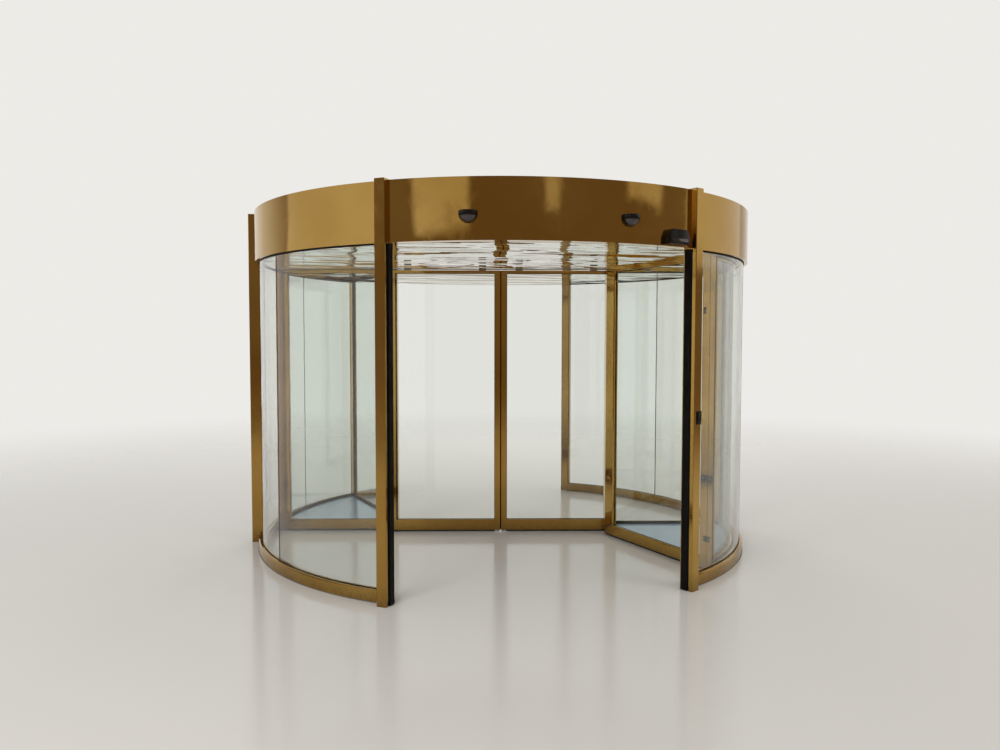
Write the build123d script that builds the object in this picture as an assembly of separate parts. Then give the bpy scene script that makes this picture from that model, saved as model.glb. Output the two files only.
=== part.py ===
from build123d import *
import math
import os

# Automatic two-wing revolving door: a fixed glass drum with its canopy, and a rotor
# that carries two glazed showcases and a pair of sliding centre leaves.
# Units are millimetres. The origin is the drum axis at floor level, the room lies
# towards -Y, the street towards +Y, and the building's wall runs along X.

# Drum: overall sizes
DRUM_RADIUS = 1920
PASSAGE_HEIGHT = 2200
HEADER_HEIGHT = 370
DRUM_GLASS = 12
PANE_JOINT_ANGLE = 28
PANE_JOINT_GAP = 4

# Drum: base rail, posts and safety strips
RAIL_WIDTH = 60
RAIL_HEIGHT = 80
RAIL_EASE = 9
POST_ANGLE = 30
POST_WIDTH = 70
POST_INSIDE = 15
POST_OUTSIDE = 85
POST_EASE = 4
POST_ABOVE_HEADER = 5
STRIP_WIDTH = 54
STRIP_THICKNESS = 10
STRIP_NOSE = 4
STRIP_OUTSIDE = 52
STRIP_END_GAP = 5

# Drum: header, fascias and wall jambs
ROOF_RECESS = 40
SIDE_FASCIA_OUTSIDE = 35
DOOR_FASCIA_OUTSIDE = 45
FASCIA_SHEET = 4
FASCIA_LIP = 6
JAMB_OUTSIDE = 95
JAMB_DEPTH = 100
JAMB_ABOVE_HEADER = 30
JAMB_EASE = 4

# Canopy roof and bearing
ROOF_SHEET = 4
ROOF_SEAMS = 12
SEAM_HEIGHT = 20
SEAM_WIDTH = 12
SEAM_END_GAP = 40
HATCH_SIZE = 760
HATCH_HEIGHT = 26
BEAM_WIDTH = 60
BEAM_HEIGHT = 120
HOUSING_SIZE = 340
PIN_RADIUS = 55
NUT_OVERHANG = 35
NUT_SIDES = 8
NUT_THICKNESS = 40

# Sensors over the doorways
DOME_RADIUS = 57
DOME_SKIRT = 17
DOME_ANGLE = 14.45
DOME_DROP = 198
CURTAIN_WIDTH = 230
CURTAIN_TOP_WIDTH = 150
CURTAIN_SIDE = 42
CURTAIN_HEIGHT = 92
CURTAIN_PROUD = 45
CURTAIN_ANGLE = 24.1
CURTAIN_RAISE = 12

# Rotor: ceiling, leaf track and showcases
REST_ANGLE = -8
CEILING_THICKNESS = 26
SHOWCASE_SETBACK = 5
SHOWCASE_CORNER_ANGLE = 140.1
SHOWCASE_INNER_X = 865
SHOWCASE_INNER_DEPTH = 120
SHOWCASE_FLOOR = 10
CORNER_POST = 85
OUTER_POST_LENGTH = 115
FRAME_WIDTH = 45
BASE_RAIL_HEIGHT = 72
HEAD_RAIL_HEIGHT = 24
CASE_GLASS = 10
TRACK_SLOT = 32
TRACK_WIDTH = 64
TRACK_HEIGHT = 60
TRACK_WALL = 5
TRACK_END = 100

# Sliding leaves
LEAF_THICKNESS = 45
LEAF_OVERLAP = 58
LEAF_EASE = 3
LEAF_STILE = 48
LEAF_BOTTOM_RAIL = 88
LEAF_TOP_RAIL = 25
LEAF_GLASS = 10
HANGER_PLATE = 12
HANGER_LENGTH = 60
HANGER_INSET = 150
ROLLER_RADIUS = 20

# Clearances
SEAT = 0.3
GLASS_EDGE = 10
FLOOR_GAP = 18
LEAF_HEAD_GAP = 10
MEETING_GAP = 6
SLIDING_GAP = 7.5
ROTOR_GAP = 10
RUNNING_GAP = 6

# Sizes that follow from the driving dimensions
RAIL_INNER = DRUM_RADIUS - RAIL_WIDTH / 2
RAIL_OUTER = DRUM_RADIUS + RAIL_WIDTH / 2
GROOVE_INNER = DRUM_RADIUS - DRUM_GLASS / 2 - SEAT
GROOVE_OUTER = DRUM_RADIUS + DRUM_GLASS / 2 + SEAT
POST_INNER = DRUM_RADIUS - POST_INSIDE
POST_OUTER = DRUM_RADIUS + POST_OUTSIDE
SIDE_FASCIA = DRUM_RADIUS + SIDE_FASCIA_OUTSIDE
DOOR_FASCIA = DRUM_RADIUS + DOOR_FASCIA_OUTSIDE
SIDE_RING = SIDE_FASCIA - FASCIA_SHEET - SEAT
DOOR_RING = DOOR_FASCIA - FASCIA_SHEET - SEAT
HEADER_TOP = PASSAGE_HEIGHT + HEADER_HEIGHT
RING_TOP = HEADER_TOP - ROOF_RECESS
POST_TOP = HEADER_TOP + POST_ABOVE_HEADER
JAMB_TOP = HEADER_TOP + JAMB_ABOVE_HEADER
GLASS_BOTTOM = RAIL_HEIGHT - GLASS_EDGE
GLASS_TOP = PASSAGE_HEIGHT + 2 * GLASS_EDGE
ROTOR_RADIUS = RAIL_INNER - ROTOR_GAP
SHOWCASE_RADIUS = ROTOR_RADIUS - SHOWCASE_SETBACK
SHOWCASE_FRONT = LEAF_THICKNESS / 2 + SLIDING_GAP
BASE_RAIL_TOP = FLOOR_GAP + BASE_RAIL_HEIGHT
HEAD_RAIL_BOTTOM = PASSAGE_HEIGHT - HEAD_RAIL_HEIGHT
CEILING_TOP = PASSAGE_HEIGHT + CEILING_THICKNESS
TRACK_TOP = CEILING_TOP + TRACK_HEIGHT + TRACK_WALL
POST_PLACES = {
    "room_left": (-90 - POST_ANGLE, -1),
    "room_right": (-90 + POST_ANGLE, 1),
    "street_right": (90 - POST_ANGLE, -1),
    "street_left": (90 + POST_ANGLE, 1),
}


def save(shape, name):
    shape.label = name
    export_step(shape, "parts/" + name + ".step")


def outline_face(points):
    """A flat face inside a closed run of straight lines."""
    return make_face(Polyline(*points, close=True))


def ring_piece(section_points, start, end):
    """Turn a section of (radius, height) points about the drum axis between two angles."""
    section = Plane.XZ * outline_face(section_points)
    return Rot(0, 0, start) * revolve(section, axis=Axis.Z, revolution_arc=end - start)


def ring_box(inner, outer, bottom, top, start, end):
    """A ring segment with a rectangular section."""
    corners = [(inner, bottom), (outer, bottom), (outer, top), (inner, top)]
    return ring_piece(corners, start, end)


def block(x0, x1, y0, y1, z0, z1):
    """A box given by its two opposite corners."""
    solid = Box(x1 - x0, y1 - y0, z1 - z0, align=(Align.MIN, Align.MIN, Align.MIN))
    return Pos(x0, y0, z0) * solid


def between_posts(piece, inner_radius, entry=0.0):
    """Trim a ring segment to the flat sides of the posts, or let it enter them a little."""
    half = POST_WIDTH / 2 - entry
    slot = block(inner_radius, POST_OUTER, -half, half, 0, POST_TOP)
    for angle, glass_side in POST_PLACES.values():
        piece = piece - Rot(0, 0, angle) * slot
    return piece


os.makedirs("parts", exist_ok=True)


# Drum posts: radial box extrusions with eased corners. One side has the groove that
# takes the edge of the bent glass, the other carries the rubber safety strip.
def drum_post(angle, glass_side):
    """A post at an angle, with its glass groove on the side of larger or smaller angles."""
    half = POST_WIDTH / 2
    corners = [
        (POST_INNER, -half + POST_EASE),
        (POST_INNER + POST_EASE, -half),
        (POST_OUTER - POST_EASE, -half),
        (POST_OUTER, -half + POST_EASE),
        (POST_OUTER, half - POST_EASE),
        (POST_OUTER - POST_EASE, half),
        (POST_INNER + POST_EASE, half),
        (POST_INNER, half - POST_EASE),
    ]
    post = extrude(outline_face(corners), POST_TOP)
    channel = ring_box(GROOVE_INNER, GROOVE_OUTER, GLASS_BOTTOM - SEAT, GLASS_TOP + SEAT, 0, POST_ANGLE)
    groove_floor = half - GLASS_EDGE - SEAT
    groove = channel & block(0, POST_OUTER, groove_floor, POST_WIDTH, 0, POST_TOP)
    if glass_side < 0:
        groove = mirror(groove, about=Plane.XZ)
    return Rot(0, 0, angle) * (post - groove)


def safety_strip(angle, door_side):
    """A rubber bar with an eased nose, on the side of a post that faces the doorway."""
    root = POST_WIDTH / 2
    tip = root + STRIP_THICKNESS
    outer = DRUM_RADIUS + STRIP_OUTSIDE
    inner = outer - STRIP_WIDTH
    corners = [
        (inner, root),
        (outer, root),
        (outer, tip - STRIP_NOSE),
        (outer - STRIP_NOSE, tip),
        (inner + STRIP_NOSE, tip),
        (inner, tip - STRIP_NOSE),
    ]
    strip = Pos(0, 0, STRIP_END_GAP) * extrude(outline_face(corners), PASSAGE_HEIGHT - 2 * STRIP_END_GAP)
    if door_side < 0:
        strip = mirror(strip, about=Plane.XZ)
    return Rot(0, 0, angle) * strip


strips = []
for place, (angle, glass_side) in POST_PLACES.items():
    save(drum_post(angle, glass_side), "post_" + place)
    strips.append(safety_strip(angle, -glass_side))
save(Compound(strips), "safety_strips")


# Sections of the base rail and of the header ring over the side walls. Both have a
# groove that takes the edge of the bent glass.
rail_section = [
    (RAIL_INNER, 0),
    (RAIL_OUTER, 0),
    (RAIL_OUTER, RAIL_HEIGHT - RAIL_EASE),
    (RAIL_OUTER - RAIL_EASE, RAIL_HEIGHT),
    (GROOVE_OUTER, RAIL_HEIGHT),
    (GROOVE_OUTER, GLASS_BOTTOM - SEAT),
    (GROOVE_INNER, GLASS_BOTTOM - SEAT),
    (GROOVE_INNER, RAIL_HEIGHT),
    (RAIL_INNER, RAIL_HEIGHT),
]
grooved_ring_section = [
    (RAIL_INNER, PASSAGE_HEIGHT),
    (GROOVE_INNER, PASSAGE_HEIGHT),
    (GROOVE_INNER, GLASS_TOP + SEAT),
    (GROOVE_OUTER, GLASS_TOP + SEAT),
    (GROOVE_OUTER, PASSAGE_HEIGHT),
    (SIDE_RING, PASSAGE_HEIGHT),
    (SIDE_RING, RING_TOP),
    (RAIL_INNER, RING_TOP),
]

# Side walls of the drum, from a room post to a street post: base rail, four bent
# panes, header ring and fascia, and the jamb where the building's wall meets them.
for side, middle in (("left", 180), ("right", 0)):
    start = middle - 90 + POST_ANGLE
    end = middle + 90 - POST_ANGLE
    save(between_posts(ring_piece(rail_section, start, end), ROTOR_RADIUS), "base_rail_" + side)

    half_gap = math.degrees(PANE_JOINT_GAP / 2 / DRUM_RADIUS)
    cuts = [start, middle - PANE_JOINT_ANGLE, middle, middle + PANE_JOINT_ANGLE, end]
    glass_in = DRUM_RADIUS - DRUM_GLASS / 2
    glass_out = DRUM_RADIUS + DRUM_GLASS / 2
    panes = []
    for first, last in zip(cuts, cuts[1:]):
        pane = ring_box(glass_in, glass_out, GLASS_BOTTOM, GLASS_TOP, first + half_gap, last - half_gap)
        panes.append(between_posts(pane, POST_INNER, GLASS_EDGE).solid())
    save(Compound(panes), "curved_panes_" + side)

    ring = ring_piece(grooved_ring_section, start, end)
    save(between_posts(ring, POST_INNER), "header_" + side)
    sheet = ring_box(SIDE_FASCIA - FASCIA_SHEET, SIDE_FASCIA, PASSAGE_HEIGHT, HEADER_TOP, start, end)
    save(between_posts(sheet, POST_INNER), "fascia_" + side)

    # The jamb is scribed to the drum: its inner side follows rail, glass and fascia.
    jamb_outer = DRUM_RADIUS + JAMB_OUTSIDE
    half_jamb = JAMB_DEPTH / 2
    jamb = block(DRUM_RADIUS, jamb_outer, -half_jamb, half_jamb, 0, JAMB_TOP)
    drum_envelope = [
        (0, 0),
        (RAIL_OUTER + SEAT, 0),
        (RAIL_OUTER + SEAT, RAIL_HEIGHT + SEAT),
        (GROOVE_OUTER, RAIL_HEIGHT + SEAT),
        (GROOVE_OUTER, PASSAGE_HEIGHT - SEAT),
        (SIDE_FASCIA + SEAT, PASSAGE_HEIGHT - SEAT),
        (SIDE_FASCIA + SEAT, JAMB_TOP),
        (0, JAMB_TOP),
    ]
    jamb = jamb - ring_piece(drum_envelope, -90, 90)
    outer_edges = jamb.faces().sort_by(Axis.X)[-1].edges().filter_by(Axis.Z)
    jamb = chamfer(outer_edges, JAMB_EASE)
    save(Rot(0, 0, middle) * jamb, "wall_jamb_" + side)

# Doorway headers: a plain and wider header ring between the posts, and a fascia that
# stands further out than over the side walls and ends in a bright lip.
door_fascia_section = [
    (DOOR_FASCIA - FASCIA_SHEET, PASSAGE_HEIGHT),
    (DOOR_FASCIA + FASCIA_LIP, PASSAGE_HEIGHT),
    (DOOR_FASCIA + FASCIA_LIP, PASSAGE_HEIGHT + FASCIA_LIP),
    (DOOR_FASCIA, PASSAGE_HEIGHT + FASCIA_LIP),
    (DOOR_FASCIA, HEADER_TOP),
    (DOOR_FASCIA - FASCIA_SHEET, HEADER_TOP),
]
for side, middle in (("room", -90), ("street", 90)):
    start = middle - POST_ANGLE
    end = middle + POST_ANGLE
    ring = ring_box(RAIL_INNER, DOOR_RING, PASSAGE_HEIGHT, RING_TOP, start, end)
    save(between_posts(ring, POST_INNER), "header_" + side)
    sheet = ring_piece(door_fascia_section, start, end)
    save(between_posts(sheet, POST_INNER), "fascia_" + side)

# Canopy roof: flat trays that rest on the header ring, with a standing seam between
# every two trays and a square hatch over the bearing.
roof = extrude(RegularPolygon(SIDE_RING, 2 * ROOF_SEAMS), ROOF_SHEET)
seam_start = HATCH_SIZE / 2 - SEAM_WIDTH
seam_end = RAIL_INNER - SEAM_END_GAP
seam = block(seam_start, seam_end, -SEAM_WIDTH / 2, SEAM_WIDTH / 2, 0, SEAM_HEIGHT)
for k in range(ROOF_SEAMS):
    roof = roof + Rot(0, 0, 360 / ROOF_SEAMS * (k + 0.5)) * seam
roof = roof + extrude(Rectangle(HATCH_SIZE, HATCH_SIZE), HATCH_HEIGHT)
save(between_posts(Pos(0, 0, RING_TOP) * roof, POST_INNER), "canopy_roof")

# Bearing in the canopy: two parallel beams hang from the roof line and hold a
# square housing, and the nut of the king pin turns on top of that housing.
housing_bottom = TRACK_TOP + RUNNING_GAP
housing_top = RING_TOP - BEAM_HEIGHT
nut_radius = PIN_RADIUS + NUT_OVERHANG
beam_inner = nut_radius + RUNNING_GAP
ring_inside = extrude(Circle(RAIL_INNER), RING_TOP)
beams = []
for y in (beam_inner, -beam_inner - BEAM_WIDTH):
    beam = block(-RAIL_INNER, RAIL_INNER, y, y + BEAM_WIDTH, housing_top, RING_TOP)
    beams.append((beam & ring_inside).solid())
save(Compound(beams), "bearing_beams")
housing_plan = Rectangle(HOUSING_SIZE, HOUSING_SIZE) - Circle(PIN_RADIUS + RUNNING_GAP)
housing = Pos(0, 0, housing_bottom) * extrude(housing_plan, housing_top - housing_bottom)
save(housing, "bearing_housing")

nut_bottom = housing_top + SEAT
pin = Pos(0, 0, TRACK_TOP) * extrude(Circle(PIN_RADIUS), nut_bottom - TRACK_TOP)
nut = Pos(0, 0, nut_bottom) * extrude(RegularPolygon(nut_radius, NUT_SIDES), NUT_THICKNESS)
save(pin + nut, "king_pin")


# Sensors: two half domes over each doorway and a wider safety sensor by one post.
def on_fascia(body, angle):
    """Stand a body on the doorway fascia at an angle, trimmed to its round face."""
    return Rot(0, 0, angle) * body - extrude(Circle(DOOR_FASCIA), HEADER_TOP)


def dome_sensor(angle):
    """A short round skirt with a half ball below it, cut by the face of the fascia."""
    top = HEADER_TOP - DOME_DROP
    skirt = Cylinder(DOME_RADIUS, DOME_SKIRT, align=(Align.CENTER, Align.CENTER, Align.MAX))
    below = block(-DOME_RADIUS, DOME_RADIUS, -DOME_RADIUS, DOME_RADIUS, -DOME_RADIUS, 0)
    bowl = Sphere(DOME_RADIUS) & below
    dome = Pos(0, 0, top) * skirt + Pos(0, 0, top - DOME_SKIRT) * bowl
    return on_fascia(Pos(DOOR_FASCIA, 0, 0) * dome, angle)


def curtain_sensor(angle):
    """A low case with its upper corners cut off, wider below than above."""
    half = CURTAIN_WIDTH / 2
    half_top = CURTAIN_TOP_WIDTH / 2
    corners = [
        (-half, 0),
        (half, 0),
        (half, CURTAIN_SIDE),
        (half_top, CURTAIN_HEIGHT),
        (-half_top, CURTAIN_HEIGHT),
        (-half, CURTAIN_SIDE),
    ]
    body = extrude(Plane.YZ * outline_face(corners), 2 * CURTAIN_PROUD)
    body = Pos(DOOR_FASCIA - CURTAIN_PROUD, 0, PASSAGE_HEIGHT + CURTAIN_RAISE) * body
    return on_fascia(body, angle)


for side, middle in (("room", -90), ("street", 90)):
    sensors = [
        dome_sensor(middle - DOME_ANGLE),
        dome_sensor(middle + DOME_ANGLE),
        curtain_sensor(middle + CURTAIN_ANGLE),
    ]
    save(Compound([sensor.solid() for sensor in sensors]), "sensors_" + side)


# Rotor ceiling: a mirror disc in two halves under the leaf track. The slot between
# the halves lets the leaf hangers through, and the rollers run on its edges.
def in_rest_pose(shape):
    return Rot(0, 0, REST_ANGLE) * shape


half_slot = TRACK_SLOT / 2
ceiling = Pos(0, 0, PASSAGE_HEIGHT) * extrude(Circle(ROTOR_RADIUS), CEILING_THICKNESS)
ceiling = ceiling - block(-ROTOR_RADIUS, ROTOR_RADIUS, -half_slot, half_slot, PASSAGE_HEIGHT, CEILING_TOP)
save(in_rest_pose(Compound(ceiling.solids())), "rotor_ceiling")

half_track = ROTOR_RADIUS - TRACK_END
half_width = TRACK_WIDTH / 2
outer_half = half_width + TRACK_WALL
track = block(-half_track, half_track, -outer_half, outer_half, CEILING_TOP, TRACK_TOP)
hollow = block(
    -half_track + TRACK_WALL,
    half_track - TRACK_WALL,
    -half_width,
    half_width,
    CEILING_TOP - TRACK_WALL,
    TRACK_TOP - TRACK_WALL,
)
save(in_rest_pose(track - hollow), "leaf_track")

# Showcases: glazed cases on the rotor. In plan each has a front side along the
# leaves, a slanting inner side, and a bent outer side that follows the drum.
corner_angle = math.radians(SHOWCASE_CORNER_ANGLE)
corner_point = Vector(math.cos(corner_angle), math.sin(corner_angle)) * SHOWCASE_RADIUS
inner_point = Vector(-SHOWCASE_INNER_X, SHOWCASE_INNER_DEPTH)
slant = (corner_point - inner_point).normalized()
beyond = corner_point + slant * CORNER_POST
plan_corners = [
    (-SHOWCASE_INNER_X, SHOWCASE_FRONT),
    (inner_point.X, inner_point.Y),
    (beyond.X, beyond.Y),
    (-2 * SHOWCASE_RADIUS, beyond.Y),
    (-2 * SHOWCASE_RADIUS, SHOWCASE_FRONT),
]
plan = Circle(SHOWCASE_RADIUS) & outline_face(plan_corners)
inner_plan = offset(plan, amount=-FRAME_WIDTH)
column = Pos(0, 0, FLOOR_GAP) * extrude(plan, PASSAGE_HEIGHT - FLOOR_GAP)


def corner_blocks(inset):
    """Blocks that mark off the three corner posts, drawn in on every side by an inset."""
    inner_left = -SHOWCASE_INNER_X - CORNER_POST + inset
    inner_right = -SHOWCASE_INNER_X + CORNER_POST - inset
    inner_back = SHOWCASE_INNER_DEPTH + CORNER_POST - inset
    inner = block(inner_left, inner_right, inset, inner_back, 0, PASSAGE_HEIGHT)
    wing_left = -SHOWCASE_RADIUS - CORNER_POST
    wing_right = -SHOWCASE_RADIUS + CORNER_POST - inset
    wing_back = CORNER_POST + FRAME_WIDTH - inset
    wing = block(wing_left, wing_right, 0, wing_back, 0, PASSAGE_HEIGHT)
    outer_left = -OUTER_POST_LENGTH + inset
    outer_back = FRAME_WIDTH - inset
    outer = block(outer_left, CORNER_POST, -CORNER_POST, outer_back, 0, PASSAGE_HEIGHT)
    turn = math.degrees(math.atan2(slant.Y, slant.X))
    outer = Pos(corner_point.X, corner_point.Y, 0) * Rot(0, 0, turn) * outer
    return [inner, wing, outer]


def cut_away(shape, tools):
    for tool in tools:
        shape = shape - tool
    return shape


def glass_loop(extra):
    """Glass all round the plan, in the middle of the frame, thicker by a clearance."""
    near = (FRAME_WIDTH - CASE_GLASS) / 2 - extra
    far = (FRAME_WIDTH + CASE_GLASS) / 2 + extra
    bottom = BASE_RAIL_TOP - GLASS_EDGE - extra
    top = HEAD_RAIL_BOTTOM + GLASS_EDGE + extra
    loop = offset(plan, amount=-near) - offset(plan, amount=-far)
    return Pos(0, 0, bottom) * extrude(loop, top - bottom)


case_panes = cut_away(glass_loop(0), corner_blocks(GLASS_EDGE)).solids()
glass_space = cut_away(glass_loop(SEAT), corner_blocks(GLASS_EDGE + SEAT))
case_posts = [(column & corner) - glass_space for corner in corner_blocks(0)]

rail_loop = cut_away(column - extrude(inner_plan, PASSAGE_HEIGHT), corner_blocks(0)) - glass_space
reach = 2 * SHOWCASE_RADIUS
low_band = block(-reach, 0, 0, reach, 0, BASE_RAIL_TOP)
high_band = block(-reach, 0, 0, reach, HEAD_RAIL_BOTTOM, PASSAGE_HEIGHT)
floor_bottom = BASE_RAIL_TOP - GLASS_EDGE - SHOWCASE_FLOOR
case_floor = Pos(0, 0, floor_bottom) * extrude(inner_plan, SHOWCASE_FLOOR)
case_floor = cut_away(case_floor, corner_blocks(0))

by_reach = sorted(case_panes, key=lambda pane: math.hypot(pane.center().X, pane.center().Y))
showcase = {
    "showcase_posts": Compound([post.solid() for post in case_posts]),
    "showcase_base_rails": Compound((rail_loop & low_band).solids()),
    "showcase_head_rails": Compound((rail_loop & high_band).solids()),
    "showcase_floor": case_floor,
    "showcase_bent_pane": by_reach[-1],
    "showcase_flat_panes": Compound(by_reach[:-1]),
}
for side, turned in (("street", 0), ("room", 180)):
    for name, shape in showcase.items():
        save(in_rest_pose(Rot(0, 0, turned) * shape), name + "_" + side)

# Sliding leaves: slim glazed frames, each hung from two plates that pass up through
# the slot. A plate has a roller on either side, which runs in the track.
half_leaf = LEAF_THICKNESS / 2
inner_edge = MEETING_GAP / 2
outer_edge = SHOWCASE_INNER_X + LEAF_OVERLAP
leaf_top = PASSAGE_HEIGHT - LEAF_HEAD_GAP
light_bottom = FLOOR_GAP + LEAF_BOTTOM_RAIL
light_top = leaf_top - LEAF_TOP_RAIL


def leaf_light(edge, half):
    """The glazed field of a leaf, grown by an edge and this thick on both sides."""
    left = inner_edge + LEAF_STILE - edge
    right = outer_edge - LEAF_STILE + edge
    return block(left, right, -half, half, light_bottom - edge, light_top + edge)


leaf_pane = leaf_light(GLASS_EDGE, LEAF_GLASS / 2)
leaf = block(inner_edge, outer_edge, -half_leaf, half_leaf, FLOOR_GAP, leaf_top)
leaf = chamfer(leaf.edges().filter_by(Axis.Z), LEAF_EASE)
leaf = leaf - leaf_light(0, half_leaf) - leaf_light(GLASS_EDGE + SEAT, LEAF_GLASS / 2 + SEAT)

axle_height = CEILING_TOP + SEAT + ROLLER_RADIUS
plate_top = axle_height + ROLLER_RADIUS
half_plate = HANGER_PLATE / 2
half_length = HANGER_LENGTH / 2
roller_width = 2 * (half_width - RUNNING_GAP)
hangers = []
for x in (inner_edge + HANGER_INSET, outer_edge - HANGER_INSET):
    plate = block(x - half_length, x + half_length, -half_plate, half_plate, leaf_top, plate_top)
    rollers = Pos(x, 0, axle_height) * Rot(90, 0, 0) * Cylinder(ROLLER_RADIUS, roller_width)
    hangers.append((plate + rollers).solid())

for side, turned in (("right", 0), ("left", 180)):
    place = Rot(0, 0, turned)
    save(in_rest_pose(place * leaf), "leaf_frame_" + side)
    save(in_rest_pose(place * leaf_pane), "leaf_pane_" + side)
    save(in_rest_pose(place * Compound(hangers)), "leaf_hangers_" + side)
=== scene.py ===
import math

import bmesh
import bpy
import numpy as np
from mathutils import Matrix, Vector


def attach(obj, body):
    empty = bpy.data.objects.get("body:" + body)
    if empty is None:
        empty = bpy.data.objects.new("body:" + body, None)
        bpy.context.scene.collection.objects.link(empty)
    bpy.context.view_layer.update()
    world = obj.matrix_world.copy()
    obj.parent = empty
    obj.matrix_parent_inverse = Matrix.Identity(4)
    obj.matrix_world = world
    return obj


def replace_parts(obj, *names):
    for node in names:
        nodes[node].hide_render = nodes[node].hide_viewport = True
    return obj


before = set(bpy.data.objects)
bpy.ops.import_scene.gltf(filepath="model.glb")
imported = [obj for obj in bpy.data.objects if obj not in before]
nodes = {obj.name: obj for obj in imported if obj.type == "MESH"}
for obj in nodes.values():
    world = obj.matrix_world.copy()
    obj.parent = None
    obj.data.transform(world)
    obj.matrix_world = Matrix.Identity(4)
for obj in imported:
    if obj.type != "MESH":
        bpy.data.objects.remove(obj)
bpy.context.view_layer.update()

# Camera: it stands in the room at eye height, a metre to the left of the door's
# middle, and looks slightly right and down. The lens is a phone's main camera.
lens_mm, sensor_mm = 28.139, 36.0
eye = Vector((-1.0095, -6.4576, 1.6361))
yaw, pitch, roll = (math.radians(a) for a in (8.8345, -2.756, 0.0716))

ahead = Vector((math.sin(yaw) * math.cos(pitch), math.cos(yaw) * math.cos(pitch), math.sin(pitch)))
level = Vector((math.cos(yaw), -math.sin(yaw), 0))
above = level.cross(ahead)
picture_right = level * math.cos(roll) + above * math.sin(roll)
picture_up = above * math.cos(roll) - level * math.sin(roll)
camera = bpy.data.objects.new("camera", bpy.data.cameras.new("camera"))
bpy.context.collection.objects.link(camera)
camera.data.sensor_width = sensor_mm
camera.data.lens = lens_mm
camera.location = eye
camera.rotation_euler = Matrix((picture_right, picture_up, -ahead)).transposed().to_euler()
bpy.context.scene.camera = camera
bpy.context.scene.view_settings.view_transform = "Standard"


# Studio: a plain pale floor fades into an even pale surround, brightest on the street
# side, under three large soft lamps. Glass and metal mirror a darker and warmer room
# with five soft boxes in it, which gives the polished faces their contrast.
def linear(colour):
    """sRGB hex to linear: below 0.04045 divide by 12.92, else ((c + 0.055) / 1.055) ** 2.4."""
    srgb = np.array([int(colour[k : k + 2], 16) for k in (1, 3, 5)]) / 255
    light = np.where(srgb <= 0.04045, srgb / 12.92, ((srgb + 0.055) / 1.055) ** 2.4)
    return (*light.tolist(), 1.0)


def node(tree, kind, inputs=None, output=0, **settings):
    """Add a node with its settings, give its sockets values or links, and return one of
    its outputs, or all of them where the output is None."""
    made = tree.nodes.new("ShaderNode" + kind)
    for name, value in settings.items():
        setattr(made, name, value)
    for socket, value in (inputs or {}).items():
        if isinstance(value, bpy.types.NodeSocket):
            tree.links.new(value, made.inputs[socket])
        else:
            made.inputs[socket].default_value = value
    return made.outputs if output is None else made.outputs[output]


street_colour, room_colour, overhead_colour = linear("#EDEBE7"), linear("#DAD7D2"), linear("#CFCDC8")
mirrored_room_colour, mirrored_floor_colour = linear("#82715F"), linear("#B3A899")
surround_light = 0.55
# Between these Y values of a direction the room's colour turns to the street's, and
# between these Z values the mirrored floor ends and the overhead colour sets in.
seen_turn, mirrored_turn, floor_turn, overhead_turn = (-0.95, 0.15), (0.2, 1.0), (-0.28, -0.02), (0.42, 0.95)
soft_box_colour, side_blur, end_blur = linear("#FFFEFA"), 0.02, 0.008
# Soft boxes: azimuth of the middle from the camera's side and half width in radians,
# then the sines of the lower and upper edges' heights, and how bright each one is.
soft_boxes = (
    (-1.55, 0.46, 0.086, 0.50, 0.66),
    (1.78, 0.42, 0.086, 0.50, 0.66),
    (-0.59, 0.20, 0.14, 0.42, 0.62),
    (0.95, 0.15, 0.17, 0.45, 0.55),
    (0.21, 0.05, 0.155, 0.40, 0.45),
)

world = bpy.data.worlds.new("studio")
bpy.context.scene.world = world
world.use_nodes = True
tree = world.node_tree
tree.nodes.clear()
parts = node(tree, "SeparateXYZ", {0: node(tree, "TexCoord", output="Generated")}, None)
path = node(tree, "LightPath", output=None)


def surround(room, first, last):
    """The room's colour turns to the street's as the direction's Y goes from first to
    last, and to the overhead colour as its Z rises."""
    ranges = ((parts["Y"], first, last), (parts["Z"], *overhead_turn))
    streetward, upward = (
        node(tree, "MapRange", {0: value, 1: start, 2: end}, interpolation_type="SMOOTHSTEP")
        for value, start, end in ranges
    )
    around = node(tree, "Mix", {0: streetward, 6: room, 7: street_colour}, 2, data_type="RGBA")
    return node(tree, "Mix", {0: upward, 6: around, 7: overhead_colour}, 2, data_type="RGBA")


mirrored = surround(mirrored_room_colour, *mirrored_turn)
off_floor = node(
    tree, "MapRange", {0: parts["Z"], 1: floor_turn[0], 2: floor_turn[1]}, interpolation_type="SMOOTHSTEP"
)
mirrored = node(tree, "Mix", {0: off_floor, 6: mirrored_floor_colour, 7: mirrored}, 2, data_type="RGBA")
roomward = node(tree, "Math", {0: parts["Y"], 1: -1.0}, operation="MULTIPLY")
azimuth = node(tree, "Math", {0: parts["X"], 1: roomward}, operation="ARCTAN2")
for middle, half_width, low, high, brightness in soft_boxes:
    inside = []
    for value, centre, half, blur, top in (
        (azimuth, middle, half_width, side_blur, 1.0),
        (parts["Z"], (low + high) / 2, (high - low) / 2, end_blur, brightness),
    ):
        off_centre = node(tree, "Math", {0: value, 1: centre}, operation="SUBTRACT")
        off_centre = node(tree, "Math", {0: off_centre}, operation="ABSOLUTE")
        edge = {"Value": off_centre, "From Min": half + blur, "From Max": half - blur, "To Max": top}
        inside.append(node(tree, "MapRange", edge))
    glow = node(tree, "Math", {0: inside[0], 1: inside[1]}, operation="MULTIPLY")
    mirrored = node(tree, "Mix", {0: glow, 6: mirrored, 7: soft_box_colour}, 2, data_type="RGBA")
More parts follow.
